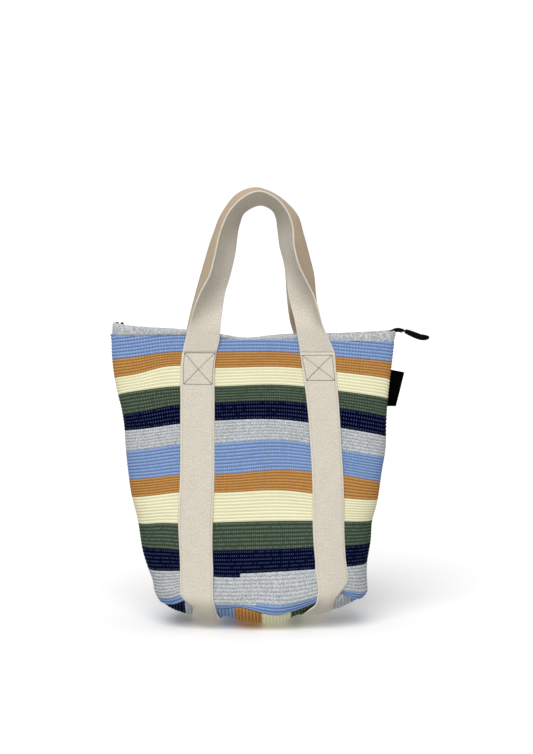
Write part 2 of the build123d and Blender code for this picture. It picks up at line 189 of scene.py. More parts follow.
# outer and inner edge of each loop at a few places, as (outer x, outer z, inner x, inner z)
LOOPS = {
    "front": metres(
        (-102.2, 383, -55.2, 383), (-99, 397, -51.5, 397), (-90, 430, -49, 427), (-75, 469, -43, 471),
        (-64, 489, -37, 491), (-57, 514, -30, 520), (-45, 560, -23, 566), (-35, 580, -18, 581),
        (-21, 595, -11, 588), (6, 607, 8, 595), (31, 596, 25, 587), (43, 582, 30, 577), (51, 564, 32, 562),
        (55, 528, 36, 533), (61, 505, 41, 514), (70, 486, 44, 493), (83, 460, 48, 464), (94, 424, 56, 430),
        (106, 397, 61.5, 399), (111.8, 383, 64, 383),
    ),
    "rear": metres(
        (-102.5, 383, -52.5, 383), (-101, 405, -53, 403), (-97, 432, -51, 430), (-86, 477, -45, 478),
        (-75, 516, -38, 516), (-62, 558, -30, 556), (-48, 592, -22, 584), (-26, 619, -12, 600),
        (-1, 627.5, 4, 607), (21, 622, 20, 602), (46, 605, 33, 589), (61, 587, 37, 572), (70, 558, 39, 550),
        (78, 528, 41, 523), (85, 499, 44, 496), (88, 468, 46, 466), (96, 425, 52, 425), (110, 397, 62, 397),
        (117, 383, 67, 383),
    ),
}
HANDLE_MIDDLE_Y = 0.0262
CLEAR_Z = 0.412          # below this the webbing stays flat, in front of the rim

# top edge of each standing facing, as (share of the half width, height)
FACING_TOPS = {
    "front": (
        (-1.0, 0.4235), (-0.965, 0.4262), (-0.91, 0.4245), (-0.8, 0.421), (-0.5, 0.4162), (-0.24, 0.4097),
        (-0.04, 0.4045), (0.12, 0.4074), (0.3, 0.4085), (0.54, 0.408), (0.72, 0.409), (0.9, 0.4125),
        (1.0, 0.415),
    ),
    "rear": (
        (-1.0, 0.424), (-0.965, 0.4265), (-0.91, 0.425), (-0.8, 0.4215), (-0.5, 0.4168), (-0.24, 0.41),
        (-0.04, 0.4055), (0.12, 0.409), (0.3, 0.4115), (0.54, 0.4119), (0.8, 0.4145), (1.0, 0.4175),
    ),
}
FACING_FOOT_Z = 0.399
FACING_INSETS = (0.0012, 0.0050)  # outer and inner side of the facing, in from the wall
FACING_PULL = 0.0034     # the slider's end draws the facing's top edge outwards
CLOSED_END_Z = 0.4035    # the facing's height where its two halves meet
# a tooth of the coil: distance from its own side towards the zip's middle, and rise above the zip's line
TOOTH = metres((3.4, 0.4), (1.4, 1.1), (-0.4, 0.8), (-0.6, -0.2), (1.4, -1))
ZIP_LINE = metres((-200, 406.5), (-100, 406.5), (0, 404), (100, 405), (200, 406.5))
CUT_ENDS = ((-0.1960, -1), (-0.1900, 1))  # x and side of each cut end of tape

RING = (0.208, 0.0, 0.415)
SLEEVE_DROOP = math.radians(15.5)
# the sleeve on the ring: distance from the ring, rise above a straight line, half height, half thickness
SLEEVE_OUTLINE = metres(
    (5.6, 1.4, 0.4, 0.4), (5.8, 1.4, 2.6, 1.6), (8, 1.3, 3.6, 2.1), (15, 0.6, 4.1, 2.4),
    (22, -0.4, 4.4, 2.6), (28.8, -0.8, 4.5, 2.6), (29.2, -0.8, 4, 2.2), (29.8, -0.8, 4, 2.2),
    (30.2, -0.8, 4.5, 2.7), (35, -0.2, 4.3, 2.6), (39.5, 0.8, 3.5, 2.2), (42, 1.4, 2, 1.4),
    (42.4, 1.5, 0.4, 0.4),
)
# the arched pull tab: x, z, half height, half thickness
TAB_OUTLINE = metres(
    (190, 412.8, 0.4, 1), (190.4, 412.8, 1.1, 3), (194.5, 414.8, 2, 3.6), (200, 416.3, 3.1, 3.6),
    (205, 416.5, 3.3, 3.4), (210, 416.1, 2.6, 3), (213.6, 415.4, 1.7, 2.2), (214, 415.3, 0.4, 1),
)
LABEL_BOTTOM, LABEL_TOP = 0.3072, 0.3600
LABEL_EDGE_X = 0.2010    # the label's free edge at its bottom corner
LABEL_SLANT = 0.0122     # how much further out the top corner is
LABEL_DROOP = 0.0040

# yarns: the ribs' colour and the warp's, in sRGB from 0 to 255, the share of warp threads that show,
# how strongly, and the brightness of the painted shade at the bottom of the grooves
YARNS = {
    "blue": ((127, 155, 202), (196, 212, 238), 0.80, 0.55, 0.42),
    "orange": ((188, 134, 72), (228, 190, 142), 0.70, 0.50, 0.45),
    "cream": ((236, 232, 194), (250, 248, 226), 0.80, 0.50, 0.76),
    "green": ((68, 84, 68), (160, 170, 150), 0.80, 0.50, 0.45),
    "navy": ((2, 8, 42), (124, 134, 166), 0.85, 0.38, 0.5),
    "grey": ((176, 180, 186), (222, 224, 226), 0.70, 0.40, 0.72),
}
COLOUR_ORDER = tuple(YARNS)
GREY_FIBRES = ((140, 145, 150), (219, 222, 224))
HEATHER_FIBRES = ((134, 138, 143), (212, 214, 215))


# ---- small tools --------------------
def linear(rgb):
    """A colour given in sRGB from 0 to 255, as Blender's linear value."""
    shares = [c / 255 for c in rgb]
    return [c / 12.92 if c <= 0.04045 else ((c + 0.055) / 1.055) ** 2.4 for c in shares] + [1.0]


def smooth_step(t):
    t = np.clip(t, 0.0, 1.0)
    return t * t * (3 - 2 * t)


def smooth_curve(x, knots):
    """Value at x of a smooth curve through knots, given as (x, value)."""
    xs, ys = np.array(knots, float).T
    slopes = np.gradient(ys, xs)
    x = np.clip(x, xs[0], xs[-1])
    i = np.clip(np.searchsorted(xs, x) - 1, 0, len(xs) - 2)
    step = xs[i + 1] - xs[i]
    t = (x - xs[i]) / step
    start = (1 + 2 * t) * (1 - t) ** 2 * ys[i] + t * (1 - t) ** 2 * step * slopes[i]
    end = t * t * (3 - 2 * t) * ys[i + 1] + t * t * (t - 1) * step * slopes[i + 1]
    return start + end


def unit(vectors):
    return vectors / np.maximum(np.linalg.norm(vectors, axis=-1, keepdims=True), 1e-12)


def normals(points):
    """Unit normals of a grid of points, rows by columns."""
    return unit(np.cross(np.gradient(points, axis=1), np.gradient(points, axis=0)))


def distance_along(points):
    """Distance of each point of a row from the first one, measured along the row."""
    return np.concatenate([[0.0], np.cumsum(np.linalg.norm(np.diff(points, axis=0), axis=1))])


def resample(stations, count):
    """Smooth rows through a few stations, evenly spaced along them."""
    stations = np.array(stations, float)
    run = distance_along(stations)
    at = np.linspace(0.0, run[-1], count)
    return np.stack([smooth_curve(at, list(zip(run, column))) for column in stations.T], axis=1)


def sample(grid, row, column):
    """Point of a grid at a fractional row and column."""
    r = int(min(max(row, 0), grid.shape[0] - 1.001))
    c = int(min(max(column, 0), grid.shape[1] - 1.001))
    fr, fc = row - r, column - c
    near = grid[r, c] * (1 - fc) + grid[r, c + 1] * fc
    far = grid[r + 1, c] * (1 - fc) + grid[r + 1, c + 1] * fc
    return near * (1 - fr) + far * fr


def superellipse(cos, sin, power):
    """Distance from the middle of a rounded unit square to its edge, in a direction."""
    return (np.abs(cos) ** power + np.abs(sin) ** power) ** (-1 / power)


class Cloth:
    """Collects grids of points, and makes one mesh of them with a warp and a rib value at each point."""

    def __init__(self):
        self.points, self.warp, self.rib, self.faces, self.slots = [], [], [], [], []
        self.count = 0

    def grid(self, points, warp, rib, slots=0, loop_rows=False, loop_columns=False, kept=None):
        """Adds a grid, whose rows or columns may close into a loop. kept says which quads to make."""
        rows, columns = points.shape[:2]
        index = self.count + np.arange(rows * columns).reshape(rows, columns)
        if loop_rows:
            index = np.vstack([index, index[:1]])
        if loop_columns:
            index = np.hstack([index, index[:, :1]])
        quads = np.stack([index[:-1, :-1], index[:-1, 1:], index[1:, 1:], index[1:, :-1]], axis=-1)
        slots = np.broadcast_to(slots, quads.shape[:2])
        if kept is not None:
            quads, slots = quads[kept], slots[kept]
        self.points.append(points.reshape(-1, 3))
        self.warp.append(np.broadcast_to(warp, (rows, columns)).ravel())
        self.rib.append(np.broadcast_to(rib, (rows, columns)).ravel())
        self.faces.extend(quads.reshape(-1, 4).tolist())
        self.slots.extend(slots.ravel().tolist())
        self.count += rows * columns
        return index

    def face(self, corners):
        self.faces.append([int(corner) for corner in corners])
        self.slots.append(0)

    def slab(self, middle, thickness, warp, rib):
        """A closed sheet of even thickness round a grid, with rounded long edges."""
        out = normals(middle) * (thickness / 2)
        bulge = thickness * 0.35
        right = (middle[:, -1] + unit(middle[:, -1] - middle[:, -2]) * bulge)[:, None]
        left = (middle[:, 0] + unit(middle[:, 0] - middle[:, 1]) * bulge)[:, None]
        ring = np.concatenate([middle + out, right, (middle - out)[:, ::-1], left], axis=1)
        values = []
        for field in (warp, rib):
            field = np.broadcast_to(field, middle.shape[:2])
            values.append(np.concatenate([field, field[:, -1:], field[:, ::-1], field[:, :1]], axis=1))
        index = self.grid(ring, *values, loop_columns=True)[:, :-1]
        columns = middle.shape[1]
        for row, order in ((index[0], -1), (index[-1], 1)):
            front, back = row[:columns], row[columns + 1:-1][::-1]
            for j in range(columns - 1):
                self.face([front[j], front[j + 1], back[j + 1], back[j]][::order])
            self.face([front[0], back[0], row[-1]][::order])
            self.face([front[-1], row[columns], back[-1]][::order])

    def tube(self, rings, warp, rib):
        """A closed solid through rings of points."""
        index = self.grid(rings, warp, rib, loop_columns=True)
        self.face(index[0, :-1][::-1])
        self.face(index[-1, :-1])

    def stitches(self, surface, places, length, thickness, lift):
        """Short threads laid on a grid surface. places has ((row, column), direction) for each."""
        up = normals(surface)
        angles = np.arange(6) * math.pi / 3
        along = np.array([-0.5, -0.32, 0.32, 0.5]) * length
        fat = np.array([0.35, 1.0, 1.0, 0.35]) * thickness / 2
        for (row, column), direction in places:
            middle = sample(surface, row, column)
            normal = unit(sample(up, row, column))
            forward = unit(direction - normal * (direction @ normal))
            side = np.cross(normal, forward)
            rings = []
            for a, f in zip(along, fat):
                centre = middle + forward * a + normal * (lift + thickness * 0.2)
                rings.append([centre + side * f * math.cos(t) + normal * f * math.sin(t) for t in angles])
            self.tube(np.array(rings), 0.0, float(row))

    def make(self, name, materials):
        mesh = bpy.data.meshes.new(name)
        mesh.from_pydata(np.concatenate(self.points).tolist(), [], self.faces)
        for material in materials:
            mesh.materials.append(material)
        mesh.polygons.foreach_set("material_index", self.slots)
        mesh.polygons.foreach_set("use_smooth", [True] * len(self.faces))
        for field, values in (("warp", self.warp), ("rib", self.rib)):
            attribute = mesh.attributes.new(field, "FLOAT", "POINT")
            attribute.data.foreach_set("value", np.concatenate(values).astype(np.float32))
        mesh.update()
        shell = bmesh.new()
        shell.from_mesh(mesh)
        bmesh.ops.recalc_face_normals(shell, faces=shell.faces)
        shell.to_mesh(mesh)
        shell.free()
        piece = bpy.data.objects.new(name, mesh)
        bpy.context.scene.collection.objects.link(piece)
        return piece


def strip(name, material, grid, thickness, warp, rib):
    """A piece that is one sheet of even thickness."""
    cloth = Cloth()
    cloth.slab(grid, thickness, warp, rib)
    return cloth.make(name, [material])


def stand_for(piece, slot, *nodes):
    """Hides the CAD nodes that the piece stands in for."""
    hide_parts(*nodes)


def follow_wall(piece):
    """Bakes the piece's placement into its mesh."""
    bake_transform(piece)


def stay_on_base(piece):
    """Hangs the piece on the root body, with a mesh of its own."""
    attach(piece, "root")
    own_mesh(piece)


# ---- materials --------------------
class Value:
    """A number that varies over the surface. It can be added, subtracted and multiplied."""

    def __init__(self, paint, socket):
        self.paint = paint
        self.socket = socket

    def __add__(self, other):
        return self.paint.math("ADD", self, other)

    def __sub__(self, other):
        return self.paint.math("SUBTRACT", self, other)

    def __mul__(self, other):
        return self.paint.math("MULTIPLY", self, other)


class Paint:
    """Short calls for a material's nodes. An input is a Value, a node's socket or a plain setting."""

    def __init__(self, name, roughness=0.9, metallic=0.0, specular=0.3):
        self.material = bpy.data.materials.new(name)
        self.material.use_nodes = True
        self.tree = self.material.node_tree
        self.shader = self.tree.nodes["Principled BSDF"]
        self.shader.inputs["Roughness"].default_value = roughness
        self.shader.inputs["Metallic"].default_value = metallic
        self.shader.inputs["Specular IOR Level"].default_value = specular

    def node(self, kind, **settings):
        made = self.tree.nodes.new(kind)
        for key, value in settings.items():
            setattr(made, key, value)
        return made

    def put(self, value, socket):
        if isinstance(value, Value):
            value = value.socket
        if isinstance(value, bpy.types.NodeSocket):
            self.tree.links.new(value, socket)
        else:
            socket.default_value = value

    def math(self, operation, *values, clamp=False):
        made = self.node("ShaderNodeMath", operation=operation, use_clamp=clamp)
        for value, socket in zip(values, made.inputs):
            self.put(value, socket)
        return Value(self, made.outputs[0])

    def ramp(self, value, low, high):
        """0 below low, 1 above high, straight in between. low may be above high."""
        return self.math("MULTIPLY", value - low, 1.0 / (high - low), clamp=True)

    def field(self, name):
        return Value(self, self.node("ShaderNodeAttribute", attribute_name=name).outputs["Fac"])

    def fields(self):
        """Distance along the cloth's two directions: the warp value and the rib value."""
        return self.field("warp"), self.field("rib")

    def position(self):
        return self.node("ShaderNodeTexCoord").outputs["Object"]

    def point(self, x, y, z=0.0):
        made = self.node("ShaderNodeCombineXYZ")
        for value, socket in zip((x, y, z), made.inputs):
            self.put(value, socket)
        return made.outputs[0]

    def noise(self, where, scale=1.0, detail=2.0):
        made = self.node("ShaderNodeTexNoise")
        self.put(where, made.inputs["Vector"])
        made.inputs["Scale"].default_value = scale
        made.inputs["Detail"].default_value = detail
        return Value(self, made.outputs["Fac"])

    def cell(self, x, y, seed=0.0):
        """A random value from 0 to 1 for each whole x and y."""
        made = self.node("ShaderNodeTexWhiteNoise", noise_dimensions="3D")
        self.put(self.point(self.math("FLOOR", x), self.math("FLOOR", y), seed), made.inputs["Vector"])
        return Value(self, made.outputs["Value"])

    def weave(self, across, along, pitch):
        """Crossing threads, from -1 to 1."""
        turn = 2 * math.pi / pitch
        return self.math("SINE", across * turn) * self.math("SINE", along * turn)

    def mix(self, share, first, second):
        made = self.node("ShaderNodeMix", data_type="RGBA")
        for value, number in ((share, 0), (first, 6), (second, 7)):
            self.put(value, made.inputs[number])
        return made.outputs[2]

    def shade(self, colour, factor):
        """A colour made darker or lighter by a factor that varies over the surface."""
        made = self.node("ShaderNodeMix", data_type="RGBA", blend_type="MULTIPLY")
        for value, number in ((1.0, 0), (colour, 6), (self.point(factor, factor, factor), 7)):
            self.put(value, made.inputs[number])
        return made.outputs[2]

    def finish(self, colour, height, depth, strength):
        """The material, with its colour and a relief that is depth high where height is 1."""
        self.put(colour, self.shader.inputs["Base Color"])
        bump = self.node("ShaderNodeBump")
        bump.inputs["Strength"].default_value = strength
        bump.inputs["Distance"].default_value = depth
        self.put(height, bump.inputs["Height"])
        self.tree.links.new(bump.outputs[0], self.shader.inputs["Normal"])
        return self.material


def ribbed_cotton(colour):
    """Thick ribs of one yarn, crossed by fine light warp threads that surface as dashes. Grooves get
    painted shade.
    """
    rib_rgb, warp_rgb, shown, strength, floor = YARNS[colour]
    paint = Paint(f"cotton_{colour}", roughness=0.95, specular=0.02)
    warp, rib = paint.fields()
    body = linear(rib_rgb)
    threads = warp * (1.0 / THREAD_PITCH)
    pull = paint.math("SINE", threads * (2 * math.pi))
    crown = paint.math("SINE", paint.math("FRACT", rib) * math.pi)
    beside = paint.math("ABSOLUTE", paint.math("FRACT", threads) - 0.5)
    lit = paint.ramp(paint.cell(threads, rib), 1.0 - shown, 1.1 - shown) * 0.75 + 0.25
    dash = paint.ramp(beside, 0.20, 0.10) * paint.ramp(crown, 0.70, 0.90)
    fibres = paint.noise(paint.point(warp * 520.0, rib * 5.0), detail=3.0)
    patches = paint.noise(paint.point(warp * 28.0, rib * 0.18))
    # painted shade: the colour gets darker down in the grooves between the ribs
    groove_shade = paint.ramp(crown + pull * 0.22, 0.0, 0.68) * (1.0 - floor) + floor
    tone = groove_shade * (fibres * 0.40 + 0.80) * (patches * 0.16 + 0.92)
    if colour == "grey":
        grain = paint.cell(warp * 1300.0, rib * 4.0, 4.0) * 0.6 + fibres * 0.5
        body = paint.mix(paint.ramp(grain, 0.20, 0.90), *(linear(rgb) for rgb in GREY_FIBRES))
    shaded = paint.shade(body, tone)
    return paint.finish(paint.mix(dash * lit * strength, shaded, linear(warp_rgb)),
                        dash * 0.8 + fibres * 0.7, 0.0005, 0.8)


def webbing_cotton(name, tone):
    """Plain-woven natural cotton, lighter in a narrow band along both edges, with a few dark seed flecks.
    """
    paint = Paint(name, roughness=0.95, specular=0.05)
    across, along = paint.fields()
    weave = paint.weave(across, along, 0.0014)
    grain = paint.noise(paint.point(across * 900.0, along * 900.0), detail=3.0)
    cloudy = paint.noise(paint.point(across * 60.0, along * 40.0))
    slubs = paint.noise(paint.point(across * 620.0, along * 380.0, 3.0), detail=1.0)
    fleck = paint.ramp(paint.cell(across * 900.0, along * 800.0, 2.0), 0.988, 0.995)
    edge = WEBBING_WIDTH / 2
    # a lighter band along both edges of the webbing
    edge_band = paint.ramp(paint.math("ABSOLUTE", across), edge - 0.0022, edge - 0.0008)
    shading = grain * 0.30 + slubs * 0.58 + 0.54 + (cloudy - 0.5) * 0.12 - fleck * 0.14 + weave * 0.06
    pale = linear([min(255, c + 14) for c in tone])
    colour = paint.mix(edge_band * 0.6, paint.shade(linear(tone), shading), pale)
    return paint.finish(colour, weave * 0.5 + grain * 0.7, 0.00035, 0.8)


def heather_cotton():
    """Fine salt-and-pepper grey."""
    paint = Paint("grey_heather", roughness=0.95, specular=0.1)
    warp, rib = paint.fields()
    salt = paint.cell(warp * 1300.0, rib * 1100.0, 1.0)
    share = salt * 0.75 + paint.noise(paint.point(warp * 420.0, rib * 300.0)) * 0.6
    colour = paint.mix(paint.ramp(share, 0.25, 1.05), *(linear(rgb) for rgb in HEATHER_FIBRES))
    return paint.finish(colour, share, 0.0003, 0.6)


def sewing_thread(name, colour):
    paint = Paint(name, roughness=0.8)
    grain = paint.noise(paint.position(), 1800.0)
    return paint.finish(paint.shade(linear(colour), grain * 0.6 + 0.7), grain, 0.0001, 0.5)


def woven_tape(name, colour, pitch):
    paint = Paint(name, roughness=0.9, specular=0.02)
    weave = paint.weave(*paint.fields(), pitch)
    return paint.finish(paint.shade(linear(colour), weave * 0.35 + 1.0), weave, 0.0002, 0.7)


def coated(name, colour, roughness, metallic=0.0):
    """Metal or plastic with fine wear in its finish."""
    paint = Paint(name, roughness=roughness, metallic=metallic, specular=0.05)
    grain = paint.noise(paint.position(), 900.0, 4.0)
    return paint.finish(paint.shade(linear(colour), grain * 0.5 + 0.75), grain, 0.00005, 0.4)


COTTON = [ribbed_cotton(colour) for colour in COLOUR_ORDER]
WEBBING_FABRIC_AND_PAINTED_SHADE = {
    "front": webbing_cotton("webbing", (218, 211, 196)),
    # the rear loop's webbing is the same cotton coloured darker and warmer: painted shade
    "rear": webbing_cotton("rear_webbing_painted_shade", (190, 172, 148)),
}
HEATHER = heather_cotton()
BOX_THREAD = sewing_thread("box_thread", (96, 88, 84))
EDGE_THREAD = sewing_thread("edge_thread", (196, 184, 160))
TAPE_FABRIC = woven_tape("zip_tape", (22, 22, 24), 0.0009)
LABEL_FABRIC = woven_tape("label_tape", (4, 4, 5), 0.0007)
COIL_PLASTIC = coated("coil", (24, 24, 27), 0.35)
BLACK_METAL = coated("black_metal", (4, 4, 5), 0.45)
RING_METAL = coated("ring_metal", (170, 172, 174), 0.28, 1.0)
SLEEVE = coated("sleeve", (3, 3, 4), 0.6)


# ---- the bag's shape --------------------
def half_width(z):
    return BOTTOM_HALF_WIDTH + WIDTH_FLARE * z


def half_depth(z):
    return BOTTOM_HALF_DEPTH - DEPTH_TAPER * z


def squareness(z):
    return BOTTOM_SQUARENESS + (MOUTH_SQUARENESS - BOTTOM_SQUARENESS) * (z / RIM_Z) ** 2


def lean(z):
    """The body leans a little to the left towards the mouth."""
    return HEM_SHIFT - LEAN * (z - HEM_Z) / BODY_HEIGHT


def rounding(x):
    """Reach inwards and height of the curve between wall and base, and the height of the underside."""
    return smooth_curve(x, CURVE_REACH), smooth_curve(x, CURVE_RISE), smooth_curve(x, UNDERSIDE)


def inset_at(x, z):
    """How far the wall has turned in under the bag at height z."""
    reach, rise, floor = rounding(x)
    sine = np.clip(1 - (z - floor) / rise, 0.0, 1.0)
    return reach * (1 - np.sqrt(1 - sine**2))


def depth_of(x, z, inset):
    """Distance of the outline from the bag's middle plane."""
    power = squareness(z)
    share = np.clip(np.abs(x) / (half_width(z) - inset), 0.0, 1.0)
    return (half_depth(z) - inset) * (1 - share**power) ** (1 / power)


def column_places():
    """Directions that divide the front outline evenly, the distance along it, and x as a share of the
    half width. They are measured at half of the bag's height."""
    z = 0.2
    angles = np.linspace(math.pi, 2 * math.pi, 2001)
    cos, sin = np.cos(angles), np.sin(angles)
    radius = superellipse(cos, sin, squareness(z))
    x = half_width(z) * radius * cos
    run = distance_along(np.stack([x, half_depth(z) * radius * sin], axis=1))
    at = np.linspace(0.0, run[-1], COLUMNS + 1)
    return np.interp(at, run, angles), at, np.interp(at, run, x) / half_width(z)


ANGLES, WARP, ACROSS = column_places()


def swell(x, z):
    """Movement of the cloth to the left or right where a side swells."""
    share = np.clip(np.abs(x) / half_width(z), 0.0, 1.0) ** 4
    return share * np.where(x < 0, -smooth_curve(z, LEFT_SWELL), smooth_curve(z, RIGHT_SWELL))


def wall_points(z, side, inset=0.0):
    """Grid on the wall for heights z, rows by columns. side is -1 for the front and 1 for the rear."""
    cos, sin = np.cos(ANGLES), np.sin(ANGLES)
    radius = superellipse(cos, sin, squareness(z))
    x = half_width(z) * radius * cos
    for _ in range(PASSES):
        turned = inset_at(x, z) + inset
        x = (half_width(z) - turned) * radius * cos
    y = (half_depth(z) - turned) * radius * np.abs(sin)
    return np.stack([x + swell(x, z) + lean(z), side * y, z], axis=-1)


def wall_line(z, side, inset):
    """Places of the wall's columns in plan, at one height."""
    return wall_points(np.full((1, COLUMNS + 1), z), side, inset)[0, :, :2]


def billow(points, side):
    """Soft unevenness of the cloth, as a distance outwards."""
    x, z = points[..., 0], points[..., 2]
    broad = np.sin(x / 0.047 + 1.3 * side) * np.sin(z / 0.063 + 0.7)
    fine = np.sin(x / 0.019 + z / 0.041 + side)
    seam = np.exp(-((np.minimum(WARP, WARP[-1] - WARP) / 0.004) ** 2))
    calm = smooth_step((FOLD_Z - z) / 0.05)
    return calm * (0.0014 * broad + 0.0005 * fine) - 0.0022 * seam


def rib_relief(values):
    """Outward distance of the surface over a rib: round on top, with a sharp groove each side."""
    return RIB_RELIEF * (np.sqrt(np.abs(np.sin(math.pi * (values % 1.0)))) - 0.5)


def ribbed_faces(middle, out, side, values):
    """The plain surface of a wall, and the ribbed surface on it."""
    flat = middle + out * billow(middle, side)[..., None]
    return flat, flat + out * rib_relief(values)[:, None, None]


# ---- walls --------------------
def stripe_edges():
    """Heights of every stripe's top edge and of the hem at each column, from the top down."""
    edges = [smooth_curve(ACROSS, list(zip(STRIPE_PLACES, *metres(heights)))) for _, _, heights in STRIPES]
    for line in (LAST_STRIPE, HEM):
        x = ACROSS * BOTTOM_HALF_WIDTH
        for _ in range(PASSES):
            height = smooth_curve(x, line)
            x = ACROSS * (half_width(height) - inset_at(x, height))
        edges.append(height)
    return edges


def rib_rows():
    """Heights, rib values and colour numbers of the rows of all ribs, from the top down."""
    edges = stripe_edges()
    stripes = [(colour, count) for colour, count, _ in STRIPES] + [("blue", LAST_RIBS)]
    heights, values, slots = [], [], []
    first = 0
    for top, bottom, (colour, count) in zip(edges[:-1], edges[1:], stripes):
        for step in range(count * RIB_STEPS):
            share = step / (count * RIB_STEPS)
            heights.append(top + (bottom - top) * share)
            values.append(first + share * count)
            slots.append(COLOUR_ORDER.index(colour))
        first += count
    return np.array(heights + [edges[-1]]), np.array(values + [first], float), np.array(slots)


def change_early(slots, values, points):
    """Gives the first rib of some stripes another colour over part of the bag's width."""
    low, high = np.minimum(values[:-1], values[1:]), np.maximum(values[:-1], values[1:])
    x = (points[:-1, :-1, 0] + points[1:, 1:, 0]) / 2
    for stripe, start, end, colour in EARLY_CHANGES:
        first = sum(count for _, count, _ in STRIPES[:stripe])
        rows = (low >= first - 0.01) & (high <= first + 1.01)
        slots[rows[:, None] & (x > start) & (x < end)] = COLOUR_ORDER.index(colour)


def striped_half(half, side, *nodes):
    """The walls of one half of the bag from seam to seam, with their inner faces."""
    heights, values, slots = rib_rows()
    order = slice(None, None, side)
    middle, values = wall_points(heights, side)[order], values[order]
    out = normals(middle)
    flat, outer = ribbed_faces(middle, out, side, values)
    hem_row = 0 if side < 0 else -1
    outer[hem_row] -= out[hem_row] * 0.0004
    slots = np.repeat(slots[order][:, None], COLUMNS, axis=1)
    if side < 0:
        change_early(slots, values, outer)
    inner_rows = np.arange(0, len(values), RIB_STEPS)
    inner = (flat - out * CLOTH)[inner_rows][::-1]
    points = np.concatenate([outer, inner])
    rib = np.concatenate([values, values[inner_rows][::-1]])[:, None]
    all_slots = np.concatenate([slots, slots[-1:], slots[inner_rows[:-1]][::-1], slots[:1]])
    cloth = Cloth()
    cloth.grid(points, WARP[None], rib, all_slots, loop_rows=True)
    piece = cloth.make(f"{half}_cloth", COTTON)
    stand_for(piece, "striped_cotton", *nodes)
    follow_wall(piece)


def top_band():
    """The topmost stripe, whose ribs are cut off by the rim."""
    cloth = Cloth()
    rim = smooth_curve(ACROSS, RIM)
    blue = COLOUR_ORDER.index("blue")
    values = np.arange(0, BAND_RIBS * RIB_STEPS + 1) / RIB_STEPS
    heights = stripe_edges()[0] + values[:, None] * RIB_PITCH
    kept = heights[:-1, :-1] < rim[:-1] - 0.0002
    for _, side in HALVES:
        middle = wall_points(np.minimum(heights, rim), side)
        out = side * -normals(wall_points(heights, side))
        flat, outer = ribbed_faces(middle, out, side, values)
        for face in (outer, flat - out * CLOTH):
            cloth.grid(face, WARP[None], values[:, None], blue, kept=kept)
    piece = cloth.make("top_band_cloth", COTTON)
    stand_for(piece, "striped_cotton", "top_band")
    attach(piece, "root")


# ---- base --------------------
def level_at(x, inset):
    """Height of the bag's underside curve where it has turned in by inset."""
    reach, rise, floor = rounding(x)
    share = np.clip(inset / reach, 0.0, 1.0)
    return floor + rise * (1 - np.sqrt(1 - (1 - share) ** 2))


def base_height(x, y):
    """Height of the base at a place in plan, found by halving the range of the inset."""
    low, high = np.zeros_like(x), rounding(x)[0]
    for _ in range(24):
        middle = (low + high) / 2
        outside = depth_of(x, level_at(x, middle), middle) > np.abs(y)
        low, high = np.where(outside, middle, low), np.where(outside, high, middle)
    return level_at(x, (low + high) / 2)


def base_grid(columns_x, rows):
    """Points of the base's outer face on lines that run from the front hem to the rear one."""
    hem = smooth_curve(columns_x, HEM)
    edge = depth_of(columns_x, hem, inset_at(columns_x, hem))
    y = np.sin(np.linspace(-math.pi / 2, math.pi / 2, rows))[:, None] * edge[None]
    x = np.repeat(columns_x[None], rows, axis=0)
    z = base_height(x, y)
    return np.stack([x + swell(x, z) + lean(z), y, z], axis=-1)


def base():
    half_span = BOTTOM_HALF_WIDTH - 0.008
    steps = round(2 * half_span / RIB_PITCH) * RIB_STEPS
    values = np.arange(steps + 1)[::-1] / RIB_STEPS
    middle = base_grid(np.linspace(-half_span, half_span, steps + 1), 64)[:, ::-1]
    out = normals(middle)
    middle = middle - out * BASE_SINK
    run = distance_along(middle[:, len(values) // 2])[:, None]
    centres = (middle[0, :-1, 0] + middle[0, 1:, 0]) / 2
    chosen = np.searchsorted([start for _, start in BASE_STRIPES], centres) - 1
    slots = np.array([COLOUR_ORDER.index(BASE_STRIPES[i][0]) for i in chosen])
    cloth = Cloth()
    cloth.grid(middle + out * rib_relief(values)[None, :, None], run, values[None], slots[None])
    cloth.grid((middle - out * CLOTH)[:, ::-1], run, values[None, ::-1], slots[None, ::-1])
    piece = cloth.make("base_cloth", COTTON)
    stand_for(piece, "striped_cotton", "base_panel")
    stay_on_base(piece)


# ---- straps --------------------
def strap_row(name, z, inset=None):
    """One row across a strap, where the bag has turned in by inset. z has a height for each column."""
    width = smooth_curve(z, STRAP_WIDTHS[name])
    x = smooth_curve(z, STRAP_LINES[name]) + np.linspace(-0.5, 0.5, STRAP_COLUMNS) * width
    plain = x - lean(z)
    inset = inset_at(plain, z) if inset is None else inset
    return np.stack([x, -depth_of(plain, z, inset), z], axis=-1)


def strap_rows(name):
    """Grid of a strap's middle surface from the front fold line down, under the base and up the rear."""
    lift = WEBBING / 2 + RIB_RELIEF / 2 + 0.0002
    foot = smooth_curve(0.03, STRAP_LINES[name])
    reach, rise, floor = rounding(foot + np.linspace(-0.5, 0.5, STRAP_COLUMNS) * WEBBING_WIDTH)
    rows = [strap_row(name, FOLD_Z + (floor + rise - FOLD_Z) * t) for t in np.linspace(0.0, 1.0, 110)]
    for turn in np.linspace(0.0, math.pi / 2, 30)[1:]:
        rows.append(strap_row(name, floor + rise * (1 - math.sin(turn)), reach * (1 - math.cos(turn))))
    x, y, z = np.moveaxis(rows[-1], -1, 0)
    rows += [np.stack([x, y * share, z], axis=-1) for share in np.linspace(1.0, 0.0, 14)[1:]]
    down = np.array(rows)
    whole = np.concatenate([down, down[:-1][::-1] * np.array([1.0, -1.0, 1.0])])
    out = normals(whole)
    heart = np.array([0.0, 0.0, 0.15])
    outward = np.sign((out * (whole - heart)).sum(axis=-1, keepdims=True))
    return whole + out * outward * lift


def webbing_piece(grid, name, half="front"):
    run = distance_along(grid[:, grid.shape[1] // 2])
    across = np.linspace(-WEBBING_WIDTH / 2, WEBBING_WIDTH / 2, grid.shape[1])
    return strip(name, WEBBING_FABRIC_AND_PAINTED_SHADE[half], grid, WEBBING, across[None], run[:, None])


